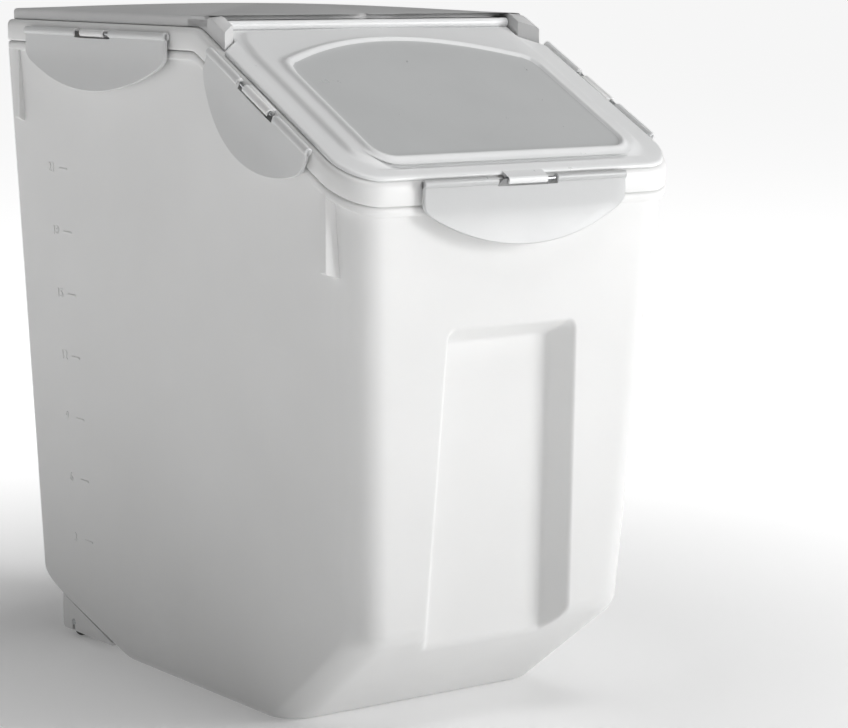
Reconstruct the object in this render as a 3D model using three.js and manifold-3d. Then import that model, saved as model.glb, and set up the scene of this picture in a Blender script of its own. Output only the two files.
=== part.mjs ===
// Wheeled dry-food bin with a sloping front lid, in millimetres.
// +X is to the right, -Y is the front, +Z is up; the origin is on the floor under the middle of the bin.

import * as THREE from 'three';
import { mergeVertices } from 'three/addons/utils/BufferGeometryUtils.js';
import Module from 'manifold-3d';

const wasm = await Module();
wasm.setup();

// ---------------------------------------------------------------- driving dimensions

const lidHalfWidth = 120;
const lidFront = -198.5;
const lidBack = 204.5;
const lidCorner = 26;
const skirtHeight = 13.5;
const skirtWall = 2.8;

const ridgeY = -42.5;              // where the level rear part meets the sloping front part
const rimRearZ = 391;              // the line on which the lid rests on the bin
const rimFrontZ = 311;
const rimSlope = (rimRearZ - rimFrontZ) / (ridgeY - lidFront);
const slopeAngle = Math.atan(rimSlope);

const wall = 2.2;
const gap = 0.3;                   // between pieces that rest on each other
const lipHeight = 5.5;
const lipHalfWidth = 119.7;

const floorHalfWidth = 94;         // the bin is narrowest at the floor
const floorFront = -175.5;
const floorBack = 198;
const sideLean = 0.0617;           // outward millimetres for each millimetre of height
const frontLean = 0.0635;
const backLean = 0.0075;
const bodyCorner = 17;

const frontChamferTop = 62.5;
const frontChamferFoot = -97.5;
const rearChamferTop = 34.6;
const rearChamferFoot = 90;

const recessTop = 240;
const recessTopHalfWidth = 45.5;
const recessLowHalfWidth = 52;
const recessDepth = 14;
const recessDraft = 9;

const wheelRadius = 9.5;
const wheelWidth = 12.6;
const wheelX = 84.2;
const wheelY = 155.5;
const wheelZ = wheelRadius + gap;
const axleRadius = 2;
const axleBore = 2.3;
const cheekThickness = 3;
const cheekFoot = 4.3;

const coverHalfWidth = 114.5;
const coverFront = -42;
const coverBack = 197.2;
const coverEdgeZ = 411.3;
const coverDome = 4.4;
const coverWall = 2.5;
const wingInner = 104;
const wingInnerEnd = -60;
const wingOuterEnd = -68;
const wingRise = 11;

const lidPlateHalfWidth = 117;
const lidPlateFront = -197.5;
const lidPlateWall = 2.4;
const flangeRise = skirtHeight + gap;
const stepRise = 19;
const panelRise = 21.4;
const pivotY = -48.5;
const pivotZ = 405.6;
const hingeBarrel = 3;
const hingePin = 1.5;
const hingeBore = 1.8;

const latchBarrel = 2.5;
const latchPin = 1.1;
const latchBore = 1.4;
const latchHalfThickness = 1.3;
const latchStandOff = latchBarrel + 0.4;     // from the frame's face to the latch's pin
const latchWindow = 20.5;
const lugHalfLength = 14;
const cornerSteps = 8;
const roundSteps = 20;

// ---------------------------------------------------------------- materials

const plastic = (color, roughness) => new THREE.MeshStandardMaterial({ color, roughness, metalness: 0 });

const whitePlastic = plastic(0xf0f0ee, 0.45);
const whiteLid = plastic(0xf2f2f0, 0.4);
const coverPlastic = plastic(0xe9eaea, 0.42);
const latchPlastic = plastic(0xdcdddc, 0.38);
const clearPlastic = plastic(0xcfd4d6, 0.15);
clearPlastic.transparent = true;
clearPlastic.opacity = 0.5;
const silicone = plastic(0xd4d6d4, 0.7);
const blackRubber = plastic(0x1b1b1c, 0.65);
const steel = new THREE.MeshStandardMaterial({ color: 0xb4b6b8, roughness: 0.3, metalness: 1 });

// ---------------------------------------------------------------- solids from three.js geometry

function solid(geometry) {
  const bare = geometry.index ? geometry.toNonIndexed() : geometry.clone();
  bare.deleteAttribute('normal');
  bare.deleteAttribute('uv');
  const merged = mergeVertices(bare, 1e-4);
  const vertProperties = new Float32Array(merged.attributes.position.array);
  const triVerts = new Uint32Array(merged.index.array);
  return new wasm.Manifold(new wasm.Mesh({ numProp: 3, vertProperties, triVerts }));
}

function piece(name, body, material) {
  const { vertProperties, triVerts } = body.getMesh();
  const geometry = new THREE.BufferGeometry();
  geometry.setAttribute('position', new THREE.BufferAttribute(new Float32Array(vertProperties), 3));
  geometry.setIndex(new THREE.BufferAttribute(new Uint32Array(triVerts), 1));
  geometry.computeVertexNormals();
  const mesh = new THREE.Mesh(geometry, material);
  mesh.name = name;
  return mesh;
}

const join = (bodies) => bodies.reduce((all, next) => all.add(next));

function prism(shape, depth) {
  return new THREE.ExtrudeGeometry(shape, { depth, bevelEnabled: false, curveSegments: cornerSteps });
}

// An outline in plan, drawn up from z0 to z1.
const upright = (shape, z0, z1) => solid(prism(shape, z1 - z0).translate(0, 0, z0));

const sideways = new THREE.Matrix4().makeBasis(
  new THREE.Vector3(0, 1, 0),
  new THREE.Vector3(0, 0, 1),
  new THREE.Vector3(1, 0, 0),
);

// An outline of (y, z) points, drawn across from x0 to x1.
function across(points, x0, x1) {
  const shape = new THREE.Shape(points.map(([y, z]) => new THREE.Vector2(y, z)));
  return solid(prism(shape, x1 - x0).applyMatrix4(sideways).translate(x0, 0, 0));
}

// An outline of (x, z) in a shape, drawn from yFront to yBack.
function lengthways(shape, yFront, yBack) {
  return solid(prism(shape, yBack - yFront).rotateX(Math.PI / 2).translate(0, yBack, 0));
}

function rodAlongX(radius, x0, x1, y, z) {
  const rod = new THREE.CylinderGeometry(radius, radius, x1 - x0, roundSteps);
  return solid(rod.rotateZ(Math.PI / 2).translate((x0 + x1) / 2, y, z));
}

function block(x0, x1, y0, y1, z0, z1) {
  const box = new THREE.BoxGeometry(x1 - x0, y1 - y0, z1 - z0);
  return solid(box.translate((x0 + x1) / 2, (y0 + y1) / 2, (z0 + z1) / 2));
}

function roundedRectangle(halfWidth, front, back, radius) {
  const shape = new THREE.Shape();
  shape.moveTo(-halfWidth, back - radius);
  shape.absarc(-halfWidth + radius, front + radius, radius, Math.PI, 1.5 * Math.PI);
  shape.absarc(halfWidth - radius, front + radius, radius, 1.5 * Math.PI, 2 * Math.PI);
  shape.absarc(halfWidth - radius, back - radius, radius, 0, 0.5 * Math.PI);
  shape.absarc(-halfWidth + radius, back - radius, radius, 0.5 * Math.PI, Math.PI);
  return shape;
}

// ---------------------------------------------------------------- shared outlines

const rimZ = (y) => (y < ridgeY ? rimRearZ - rimSlope * (ridgeY - y) : rimRearZ);

// Everything between two heights above the bent rim line.
function band(lower, upper) {
  const ends = [lidFront - 40, ridgeY, lidBack + 40];
  const under = ends.map((y) => [y, rimZ(y) + lower]);
  const over = ends.map((y) => [y, rimZ(y) + upper]).reverse();
  return across([...under, ...over], -150, 150);
}

// The lid's plan outline, brought in by an inset.
function lidOutline(inset, z0 = 250, z1 = 450) {
  const outline = roundedRectangle(
    lidHalfWidth - inset,
    lidFront + inset,
    lidBack - inset,
    lidCorner - inset,
  );
  return upright(outline, z0, z1);
}

// The bin's leaning walls, brought in by an inset: an upright prism stretched towards its top.
function leaningWalls(inset, z0, z1) {
  const at = (z) => ({
    halfWidth: floorHalfWidth + sideLean * z - inset,
    front: floorFront - frontLean * z + inset,
    back: floorBack + backLean * z - inset,
  });
  const low = at(z0);
  const high = at(z1);
  const stretchX = high.halfWidth / low.halfWidth;
  const stretchY = (high.back - high.front) / (low.back - low.front);
  const outline = roundedRectangle(low.halfWidth, low.front, low.back, bodyCorner - inset);
  const geometry = prism(outline, z1 - z0).translate(0, 0, z0);
  const position = geometry.attributes.position;
  for (let i = 0; i < position.count; i += 1) {
    if (position.getZ(i) > (z0 + z1) / 2) {
      position.setX(i, position.getX(i) * stretchX);
      position.setY(i, high.front + (position.getY(i) - low.front) * stretchY);
    }
  }
  return solid(geometry);
}

const wallX = (z) => floorHalfWidth + sideLean * z;
const frontWallY = (z) => floorFront - frontLean * z;

// ---------------------------------------------------------------- bin body

const bodyTop = rimRearZ - gap;

// The bin's side view: flat foot, two chamfers, and a top that follows the rim.
function bodySide(inset) {
  const frontTurn = inset * 0.75;
  const rearTurn = inset * 0.85;
  return across(
    [
      [frontChamferFoot + frontTurn, inset],
      [rearChamferFoot - inset * 0.15, inset],
      [floorBack + 12, rearChamferTop + (12 + rearTurn) * rearChamferTop / (floorBack - rearChamferFoot)],
      [floorBack + 12, rimRearZ - gap],
      [ridgeY, rimRearZ - gap],
      [lidFront - 20, rimZ(lidFront - 20) - gap],
      [frontWallY(frontChamferTop) - 12, frontChamferTop + frontTurn + 12 * frontChamferTop / chamferRun()],
    ],
    -150,
    150,
  );
}

const chamferRun = () => frontChamferFoot - frontWallY(frontChamferTop);

// The tapered recess in the front wall, which runs out through the lower chamfer.
function recess(grow) {
  const outline = new THREE.Shape();
  const topHalf = recessTopHalfWidth + grow;
  const lowHalf = recessLowHalfWidth + grow;
  const top = recessTop + grow;
  const foot = -30;
  const corner = 6;
  const halfAt = (z) => lowHalf + (topHalf - lowHalf) * (z - 65) / (recessTop - 65);
  outline.moveTo(-halfAt(foot), foot);
  outline.lineTo(halfAt(foot), foot);
  outline.lineTo(halfAt(top - corner), top - corner);
  outline.quadraticCurveTo(topHalf, top, topHalf - corner, top);
  outline.lineTo(-topHalf + corner, top);
  outline.quadraticCurveTo(-topHalf, top, -halfAt(top - corner), top - corner);
  const proud = 4;
  const depth = recessDepth + grow + proud;
  const geometry = prism(outline, depth).rotateX(Math.PI / 2).translate(0, depth - proud, 0);
  const position = geometry.attributes.position;
  for (let i = 0; i < position.count; i += 1) {
    const x = position.getX(i);
    const y = position.getY(i);
    const z = position.getZ(i);
    const inward = (y / recessDepth) * recessDraft;
    position.setX(i, x - Math.sign(x) * inward);
    position.setZ(i, z > 0 ? z - inward * 0.7 : z);
    position.setY(i, y + frontWallY(position.getZ(i)));
  }
  return solid(geometry);
}

// One upright rib under the lip, on both sides of the bin.
function gusset(y, thickness, foot) {
  const drop = 3;
  const ribs = [-1, 1].map((side) => {
    const shape = new THREE.Shape();
    const inside = side * (wallX(foot) - 1);
    shape.moveTo(inside, foot - drop);
    shape.lineTo(side * (lipHalfWidth - gap), foot);
    shape.lineTo(side * (lipHalfWidth - gap), rimZ(y) - 2);
    shape.lineTo(inside, rimZ(y) - 2);
    return lengthways(shape, y - thickness / 2, y + thickness / 2);
  });
  return join(ribs).subtract(leaningWalls(wall / 2, 200, 400));
}

// Two cheeks under the rear chamfer carry each wheel's axle in a keyhole that opens downward.
function wheelCheeks() {
  const chamferZ = (y) => (y - rearChamferFoot) * rearChamferTop / (floorBack - rearChamferFoot);
  const start = rearChamferFoot + 15;
  const end = 169.5;
  const outline = [
    [start, cheekFoot],
    [end - 3, cheekFoot],
    [end, cheekFoot + 3],
    [end, chamferZ(end) + 1],
    [start, chamferZ(start) + 1],
  ];
  const innerEdge = wheelX - wheelWidth / 2 - gap - 0.5;
  const outerEdge = wheelX + wheelWidth / 2 + gap + 0.5;
  const starts = [innerEdge - cheekThickness, outerEdge, -outerEdge - cheekThickness, -innerEdge];
  const cheeks = starts.map((x) => across(outline, x, x + cheekThickness));
  const slot = block(-150, 150, wheelY - axleRadius * 0.85, wheelY + axleRadius * 0.85, 0, wheelZ);
  const keyhole = rodAlongX(axleBore, -150, 150, wheelY, wheelZ).add(slot);
  return join(cheeks).subtract(keyhole);
}

// Seven level marks moulded on the left wall, near its rear edge.
function levelMarks() {
  const first = 69.5;
  const step = 40.4;
  const marks = [];
  for (let i = 0; i < 7; i += 1) {
    const z = first + step * i;
    marks.push(block(-wallX(z) - 0.5, -wallX(z) + 1, 121.5, 131.5, z - 0.7, z + 0.7));
  }
  return join(marks);
}

function binBody() {
  const outside = leaningWalls(0, 0, rimRearZ).intersect(bodySide(0)).subtract(recess(0));
  const inside = leaningWalls(wall, -5, rimRearZ + 5).intersect(bodySide(wall)).subtract(recess(wall));
  const mouth = leaningWalls(wall, 250, rimRearZ + 5).intersect(band(-20, 5));
  const lip = upright(
    roundedRectangle(lipHalfWidth, lidFront + 0.3, lidBack - 0.3, lidCorner - 0.3),
    250,
    450,
  ).intersect(band(-lipHeight, -gap));
  const ribs = join([gusset(-174.5, 5.5, 274.5), gusset(175.5, 5.5, 342)]);
  return outside
    .add(wheelCheeks())
    .add(lip)
    .add(ribs.intersect(band(-200, -2)))
    .add(levelMarks())
    .subtract(inside)
    .subtract(mouth);
}

// ---------------------------------------------------------------- wheels

function wheel() {
  const half = wheelWidth / 2;
  const round = 1.2;
  const profile = [
    [axleBore, -half],
    [wheelRadius - round, -half],
    [wheelRadius, -half + round],
    [wheelRadius, half - round],
    [wheelRadius - round, half],
    [axleBore, half],
    [axleBore, -half],
  ];
  const points = profile.map(([r, h]) => new THREE.Vector2(r, h));
  return solid(new THREE.LatheGeometry(points, 32).rotateZ(Math.PI / 2));
}

function axle() {
  const half = wheelWidth / 2 + gap + 0.5 + cheekThickness;
  return rodAlongX(axleRadius, -half, half, 0, 0);
}

// ---------------------------------------------------------------- latch stations

// A latch's own frame: first axis along the rail, second up, third outward; its origin is on the pin.
function stationFrame(origin, up, outward) {
  const along = new THREE.Vector3().crossVectors(up, outward);
  return new THREE.Matrix4().makeBasis(along, up, outward).setPosition(origin);
}

const slopeUp = new THREE.Vector3(0, -Math.sin(slopeAngle), Math.cos(slopeAngle));
const levelUp = new THREE.Vector3(0, 0, 1);

// pinRise: the pin above the rim line, square to it. below: how far the latch reaches under that line.
const rearLatch = { halfLength: 85.5, pinRise: 7.5, below: 27.7, endBelow: 8, y: 68.5 };
const slopeLatch = { halfLength: 57, pinRise: 11, below: 26.3, endBelow: 2.5, along: 76 };
const frontLatch = { halfLength: 72, pinRise: 12, below: 24, endBelow: 3 };

function sideStation(side, latch, up) {
  const onRim = latch.y !== undefined
    ? new THREE.Vector3(0, latch.y, rimRearZ)
    : new THREE.Vector3(0, ridgeY - latch.along * Math.cos(slopeAngle), rimRearZ - latch.along * Math.sin(slopeAngle));
  const origin = onRim.addScaledVector(up, latch.pinRise);
  origin.x = side * (lidHalfWidth + latchStandOff);
  return stationFrame(origin, up, new THREE.Vector3(side, 0, 0));
}

const frontStation = stationFrame(
  new THREE.Vector3(0, lidFront - latchStandOff, rimFrontZ + frontLatch.pinRise),
  levelUp,
  new THREE.Vector3(0, -1, 0),
);

const stations = {
  rear_left: { latch: rearLatch, frame: sideStation(-1, rearLatch, levelUp) },
  rear_right: { latch: rearLatch, frame: sideStation(1, rearLatch, levelUp) },
  slope_left: { latch: slopeLatch, frame: sideStation(-1, slopeLatch, slopeUp) },
  slope_right: { latch: slopeLatch, frame: sideStation(1, slopeLatch, slopeUp) },
};

function rodAlongStation(radius, halfLength) {
  const rod = new THREE.CylinderGeometry(radius, radius, 2 * halfLength, 16);
  return rod.rotateZ(Math.PI / 2);
}

// A latch: a rolled top edge on a thin plate with a bowed lower edge that flares outward.
function latchBody({ halfLength, pinRise, below, endBelow }) {
  const foot = -(pinRise + below);
  const endFoot = -(pinRise + endBelow);
  const lipFoot = -(pinRise + lipHeight);
  const t = latchHalfThickness;
  const flare = 3.4;
  const section = new THREE.Shape();
  section.moveTo(-t, 0);
  section.lineTo(-t, lipFoot - 0.4);
  section.lineTo(-t - 1.1, lipFoot - 1.4);
  section.lineTo(-t - 1.1, lipFoot - 2.4);
  section.lineTo(-t, lipFoot - 4.4);
  section.lineTo(flare - t, foot - 1);
  section.lineTo(flare + t * 0.6, foot - 1);
  section.lineTo(t, lipFoot - 4);
  section.lineTo(t, 0);
  const bowDrop = endFoot - foot;
  const bowRadius = (halfLength * halfLength + bowDrop * bowDrop) / (2 * bowDrop);
  const bowAngle = Math.asin(halfLength / bowRadius);
  const outline = new THREE.Shape();
  outline.moveTo(halfLength, latchBarrel + 1);
  outline.lineTo(-halfLength, latchBarrel + 1);
  outline.absarc(0, foot + bowRadius, bowRadius, 1.5 * Math.PI - bowAngle, 1.5 * Math.PI + bowAngle);
  const bow = new THREE.ExtrudeGeometry(outline, { depth: 30, bevelEnabled: false, curveSegments: 18 });
  const sectionAlong = prism(section, 2 * halfLength)
    .applyMatrix4(new THREE.Matrix4().makeBasis(
      new THREE.Vector3(0, 0, 1),
      new THREE.Vector3(0, 1, 0),
      new THREE.Vector3(-1, 0, 0),
    ))
    .translate(halfLength, 0, 0);
  const window = new THREE.BoxGeometry(2 * latchWindow, latchBarrel + 4.5, 12).translate(0, -0.3, 0);
  return solid(sectionAlong)
    .add(solid(rodAlongStation(latchBarrel, halfLength)))
    .intersect(solid(bow.translate(0, 0, -15)))
    .subtract(solid(window))
    .subtract(solid(rodAlongStation(latchBore, latchWindow + 9)));
}

const latchRod = () => solid(rodAlongStation(latchPin, latchWindow + 8));

// The lug that holds a latch's pin, in the station's frame, with the foot that joins it to the lid.
function latchLug(foot) {
  const eye = rodAlongStation(latchBarrel - 0.1, lugHalfLength);
  return solid(eye).add(solid(foot)).subtract(solid(rodAlongStation(latchBore, lugHalfLength + 1)));
}

function sideLug(frame) {
  const foot = new THREE.BoxGeometry(2 * lugHalfLength, 2 * latchBarrel - 0.6, latchStandOff + 1.2);
  const lug = latchLug(foot.translate(0, -0.1, -(latchStandOff + 1.2) / 2));
  return lug.transform(frame.elements);
}

// ---------------------------------------------------------------- lid frame

const pourHalfWidth = 92;
const pourFront = -178;
const pourBack = -80;

function plugRing(outerInset, innerInset, lower, upper) {
  const outer = leaningWalls(outerInset, 250, 420);
  return outer.subtract(leaningWalls(innerInset, 240, 430)).intersect(band(lower, upper));
}

function lidFrame() {
  const shell = lidOutline(0).intersect(band(0, skirtHeight));
  const hollow = lidOutline(skirtWall).intersect(band(-5, skirtHeight - skirtWall));
  const pour = upright(roundedRectangle(pourHalfWidth, pourFront, pourBack, 18), 250, 450);
  const rearWindow = upright(roundedRectangle(98, -22, 184, 14), 250, 450);
  const plug = plugRing(5.2, 7.2, -9, skirtHeight - 1);
  const sealShelf = plugRing(3.4, 6.2, -9, -7.2);
  const lugs = Object.values(stations).map(({ frame }) => sideLug(frame));
  return shell
    .subtract(hollow)
    .add(plug)
    .add(sealShelf)
    .subtract(pour)
    .subtract(rearWindow)
    .add(join(lugs));
}

const mainSeal = () => plugRing(2.8, 4.9, -6.8, -2.6);

// ---------------------------------------------------------------- rear cover

// A low dome: an arc along the bin cut with an arc across it.
function dome(inset) {
  const arcPoints = (from, to, edge, rise) => {
    const points = [];
    for (let i = 0; i <= 12; i += 1) {
      const t = i / 12;
      points.push([from + (to - from) * t, edge + rise * 4 * t * (1 - t)]);
    }
    return points;
  };
  const edge = coverEdgeZ - inset;
  const along = arcPoints(coverFront - 1, coverBack + 1, edge, coverDome).reverse();
  const lengthArc = across([[coverFront - 1, 380], [coverBack + 1, 380], ...along], -150, 150);
  const over = arcPoints(-coverHalfWidth - 1, coverHalfWidth + 1, edge, coverDome).reverse();
  const crossShape = new THREE.Shape(
    [[-coverHalfWidth - 1, 380], [coverHalfWidth + 1, 380], ...over].map(([x, z]) => new THREE.Vector2(x, z)),
  );
  return lengthArc.intersect(lengthways(crossShape, coverFront - 2, coverBack + 2));
}

function coverOutline(inset) {
  const outline = roundedRectangle(
    coverHalfWidth - inset,
    coverFront + inset,
    coverBack - inset,
    14 - inset,
  );
  return upright(outline, 380, 430);
}

// The arms that reach down the slope beside the flip lid and hold its hinge pins.
function coverWing(side) {
  const plan = new THREE.Shape();
  plan.moveTo(side * wingInner, coverFront + 8);
  plan.lineTo(side * wingInner, wingInnerEnd);
  plan.lineTo(side * coverHalfWidth, wingOuterEnd);
  plan.lineTo(side * coverHalfWidth, coverFront + 14);
  plan.lineTo(side * wingInner, coverFront + 14);
  return upright(plan, 360, 430)
    .intersect(band(skirtHeight + gap, skirtHeight + wingRise))
    .intersect(block(-150, 150, -100, coverFront + 8, 360, coverEdgeZ));
}

function rearCover() {
  const level = block(-150, 150, coverFront - 5, coverBack + 5, rimRearZ + skirtHeight + gap, 430);
  const shell = coverOutline(0).intersect(dome(0)).intersect(level);
  const hollow = coverOutline(coverWall).intersect(dome(coverWall));
  const bores = [-1, 1].map((side) => {
    const ends = [side * (wingInner - 2), side * (coverHalfWidth - 3)].sort((a, b) => a - b);
    return rodAlongX(hingeBore, ends[0], ends[1], pivotY, pivotZ);
  });
  return shell
    .subtract(hollow)
    .add(coverWing(-1))
    .add(coverWing(1))
    .subtract(join(bores));
}

// ---------------------------------------------------------------- flip lid

const hingeHalfLength = wingInner - 0.9;
const lidPlateBack = pivotY - 1.5;
const cornerCutInner = wingInnerEnd - 1.1;
const cornerCutOuter = wingOuterEnd - 3.7;

function flipOutline() {
  const plan = new THREE.Shape();
  const r = 23;
  plan.moveTo(-hingeHalfLength, lidPlateBack);
  plan.lineTo(-hingeHalfLength, cornerCutInner);
  plan.lineTo(-lidPlateHalfWidth, cornerCutOuter);
  plan.absarc(-lidPlateHalfWidth + r, lidPlateFront + r, r, Math.PI, 1.5 * Math.PI);
  plan.absarc(lidPlateHalfWidth - r, lidPlateFront + r, r, 1.5 * Math.PI, 2 * Math.PI);
  plan.lineTo(lidPlateHalfWidth, cornerCutOuter);
  plan.lineTo(hingeHalfLength, cornerCutInner);
  plan.lineTo(hingeHalfLength, lidPlateBack);
  return upright(plan, 250, 450);
}

// The window in the flip lid: straight sides and foot, bowed top.
function windowOutline(grow) {
  const plan = new THREE.Shape();
  const half = 88 + grow;
  const front = -185 - grow;
  const side = -94 + grow;
  const r = 12 + grow;
  plan.moveTo(-half, side);
  plan.absarc(-half + r, front + r, r, Math.PI, 1.5 * Math.PI);
  plan.absarc(half - r, front + r, r, 1.5 * Math.PI, 2 * Math.PI);
  plan.lineTo(half, side);
  plan.quadraticCurveTo(0, side + 25, -half, side);
  return upright(plan, 250, 450);
}

function flipLid() {
  const edge = flipOutline().intersect(band(flangeRise, flangeRise + lidPlateWall));
  const stepPlan = roundedRectangle(hingeHalfLength, -190, lidPlateBack, 16);
  const step = upright(stepPlan, 250, 450).intersect(block(-150, 150, -220, lidPlateBack, 250, 450));
  const raised = step.intersect(band(flangeRise, stepRise));
  const panel = windowOutline(0).intersect(band(flangeRise, panelRise));
  const underStep = upright(roundedRectangle(hingeHalfLength - 2.6, -187.4, lidPlateBack - 5, 13.5), 250, 450)
    .intersect(band(0, stepRise - lidPlateWall));
  const underPanel = windowOutline(-2.6).intersect(band(0, panelRise - lidPlateWall));
  const barrel = rodAlongX(hingeBarrel, -hingeHalfLength, hingeHalfLength, pivotY, pivotZ);
  const bores = [-1, 1].map((side) => {
    const ends = [side * (hingeHalfLength - 9), side * (hingeHalfLength + 1)].sort((a, b) => a - b);
    return rodAlongX(hingeBore, ends[0], ends[1], pivotY, pivotZ);
  });
  const neck = block(-lugHalfLength, lugHalfLength, lidFront - latchStandOff - 2, lidPlateFront + 3, 300, 340)
    .intersect(band(flangeRise, flangeRise + lidPlateWall));
  const lugEye = solid(rodAlongStation(latchBarrel - 0.1, lugHalfLength)).transform(frontStation.elements);
  const lugBore = solid(rodAlongStation(latchBore, lugHalfLength + 1)).transform(frontStation.elements);
  return edge
    .add(raised)
    .add(panel)
    .subtract(underStep)
    .subtract(underPanel)
    .add(barrel)
    .subtract(join(bores))
    .add(neck)
    .add(lugEye)
    .subtract(lugBore);
}

function flipSeal() {
  const outer = upright(roundedRectangle(99, -185, -73, 20), 250, 450);
  const inner = upright(roundedRectangle(94, -180, -78, 15), 240, 460);
  return outer.subtract(inner).intersect(band(skirtHeight + gap, stepRise - lidPlateWall - gap));
}

function lidHingePin(side) {
  const ends = [side * (hingeHalfLength - 8), side * (coverHalfWidth - 3.5)].sort((a, b) => a - b);
  return rodAlongX(hingePin, ends[0], ends[1], pivotY, pivotZ);
}

// ---------------------------------------------------------------- assembly

const bin = new THREE.Group();
bin.add(piece('bin_body', binBody(), whitePlastic));

for (const [name, side] of [['left', -1], ['right', 1]]) {
  const corner = new THREE.Group();
  corner.position.set(side * wheelX, wheelY, wheelZ);
  corner.add(piece(`wheel_${name}`, wheel(), blackRubber));
  corner.add(piece(`axle_${name}`, axle(), steel));
  bin.add(corner);
}

const mainLid = new THREE.Group();
mainLid.add(piece('lid_frame', lidFrame(), whiteLid));
mainLid.add(piece('lid_seal', mainSeal(), silicone));
mainLid.add(piece('rear_cover', rearCover(), coverPlastic));
mainLid.add(piece('hinge_pin_left', lidHingePin(-1), steel));
mainLid.add(piece('hinge_pin_right', lidHingePin(1), steel));
for (const [name, { latch, frame }] of Object.entries(stations)) {
  const station = new THREE.Group();
  station.applyMatrix4(frame);
  station.add(piece(`latch_${name}`, latchBody(latch), latchPlastic));
  station.add(piece(`latch_pin_${name}`, latchRod(), steel));
  mainLid.add(station);
}
bin.add(mainLid);

const flip = new THREE.Group();
flip.add(piece('flip_lid', flipLid(), clearPlastic));
flip.add(piece('flip_seal', flipSeal(), silicone));
const front = new THREE.Group();
front.applyMatrix4(frontStation);
front.add(piece('latch_front', latchBody(frontLatch), clearPlastic));
front.add(piece('latch_pin_front', latchRod(), steel));
flip.add(front);
bin.add(flip);

export default bin;
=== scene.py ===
"""Looks for the pet food bin: fine meshes and moulded-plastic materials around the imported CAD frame."""
import math
import bmesh
import bpy
from mathutils import Matrix, Vector


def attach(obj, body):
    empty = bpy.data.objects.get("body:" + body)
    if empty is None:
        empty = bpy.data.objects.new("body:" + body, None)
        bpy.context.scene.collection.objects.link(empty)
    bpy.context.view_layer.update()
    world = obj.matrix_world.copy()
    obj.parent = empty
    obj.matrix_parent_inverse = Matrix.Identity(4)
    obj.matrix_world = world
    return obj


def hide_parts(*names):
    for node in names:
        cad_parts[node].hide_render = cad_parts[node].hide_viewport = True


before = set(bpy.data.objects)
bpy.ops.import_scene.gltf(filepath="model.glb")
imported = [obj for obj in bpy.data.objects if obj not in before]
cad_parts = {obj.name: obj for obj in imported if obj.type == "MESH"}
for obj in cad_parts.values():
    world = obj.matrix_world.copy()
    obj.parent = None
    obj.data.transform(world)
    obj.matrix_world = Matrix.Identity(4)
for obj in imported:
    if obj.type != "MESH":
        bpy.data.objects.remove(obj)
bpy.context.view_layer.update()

MM = 0.001

# ---------------------------------------------------------------- driving sizes, in millimetres

LID_HALF = 120.0
LID_FRONT = -198.5
LID_BACK = 204.5
LID_CORNER = 26.0
SKIRT = 13.5
RIDGE_Y = -42.5
RIM_REAR = 391.0
RIM_FRONT = 311.0
RIM_SLOPE = (RIM_REAR - RIM_FRONT) / (RIDGE_Y - LID_FRONT)
SLOPE_ANGLE = math.atan(RIM_SLOPE)
BEND = 5.0                       # half the length over which the rim turns at the ridge

FLOOR_HALF = 94.0
FLOOR_FRONT = -175.5
FLOOR_BACK = 198.0
SIDE_LEAN = 0.0617
FRONT_LEAN = 0.0635
BACK_LEAN = 0.0075
BODY_CORNER = 19.0
REAR_CORNER = 11.0
WALL = 2.2
LIP_HALF = 119.7
LIP_HEIGHT = 5.5
GAP = 0.3

FRONT_CHAMFER_TOP = 62.5
FRONT_CHAMFER_FOOT = -97.5
REAR_CHAMFER_TOP = 34.6
REAR_CHAMFER_FOOT = 90.0

RECESS_TOP = 240.0
RECESS_TOP_HALF = 45.5
RECESS_LOW_HALF = 52.0
RECESS_LOW_Z = 65.0
RECESS_DEPTH = 14.0
RECESS_DRAFT = 9.0
RECESS_CORNER = 6.0
RECESS_FILLET = 0.16             # share of the draft that is rounded at its top and foot
FRONT_BLEND = 7.0
RECESS_BLEND = 3.0
REAR_BLEND = 26.0

COVER_HALF = 114.5
COVER_FRONT = -42.0
COVER_BACK = 197.2
COVER_EDGE = 411.3
COVER_DOME = 4.4
COVER_CORNER = 14.0
WING_INNER = 104.0
WING_INNER_END = -60.0
WING_OUTER_END = -68.0
WING_RISE = 11.0

LATCH_BARREL = 2.5
LATCH_WINDOW = 20.5
LUG_HALF = 14.0
LATCH_STANDOFF = 2.9
LATCH_FLARE = 2.75
LATCH_THICK = 1.3                # half the plate's thickness
LATCH_CATCH = 1.1
LATCH_STEPS = 16

WHEEL_X = 84.2
WHEEL_Y = 155.5
WHEEL_Z = 9.8
WHEEL_RADIUS = 9.5
WHEEL_WIDTH = 12.6
WHEEL_SEGMENTS = 56

PIVOT_Y = -48.5
PIVOT_Z = 405.6


# ---------------------------------------------------------------- small mathematics

def slope_z(y):
    """Height of the sloping part of the rim line, carried on past the ridge."""
    return RIM_REAR - RIM_SLOPE * (RIDGE_Y - y)


def rim(y):
    """Height of the rim line, with a soft bend at the ridge."""
    if y >= RIDGE_Y + BEND:
        return RIM_REAR
    if y <= RIDGE_Y - BEND:
        return slope_z(y)
    s = (RIDGE_Y + BEND - y) / (2 * BEND)
    return RIM_REAR - RIM_SLOPE * BEND * s * s


def smooth_max(a, b, r):
    """The larger of two values, with a fillet of about r where they cross."""
    d = abs(a - b)
    if d >= r:
        return max(a, b)
    return max(a, b) + (r - d) * (r - d) / (4 * r)


def lerp(a, b, t):
    return a + (b - a) * t


def smoothstep(t):
    t = min(1.0, max(0.0, t))
    return t * t * (3 - 2 * t)


# ---------------------------------------------------------------- meshes

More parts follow.
